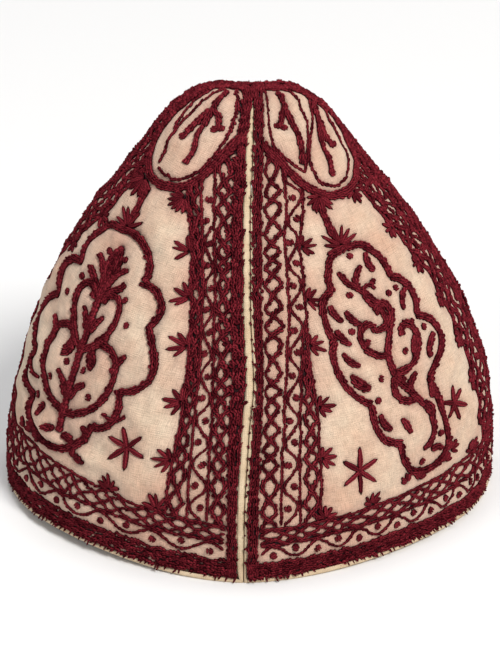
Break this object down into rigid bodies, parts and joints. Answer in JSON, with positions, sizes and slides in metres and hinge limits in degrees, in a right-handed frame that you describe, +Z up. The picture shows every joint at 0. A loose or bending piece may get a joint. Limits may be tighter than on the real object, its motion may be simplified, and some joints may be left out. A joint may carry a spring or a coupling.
{
  "type": "dervish cap",
  "caption": "Pointed dome cap of wadded cotton gores sewn edge to edge, with cream edging along the seams and rim, open below for the head",
  "frame": {"origin": "centre of the rim, on the surface that the cap stands on", "axes": "+Z up to the point of the cap, +Y towards the back seam, +X towards the right-hand side seam as seen from the front"},
  "size_m": [0.1859, 0.1859, 0.1527],
  "materials": {
    "panel_cotton": "matte",
    "edging_cotton": "matte",
    "embroidery_thread": "satin"
  },
  "bodies": {
    "root": {"panel_front_right": "panel_cotton", "panel_front_left": "panel_cotton", "panel_back_right": "panel_cotton", "panel_back_left": "panel_cotton", "edging_front_right": "edging_cotton", "edging_front_left": "edging_cotton", "edging_back_right": "edging_cotton", "edging_back_left": "edging_cotton"}
  },
  "joints": []
}
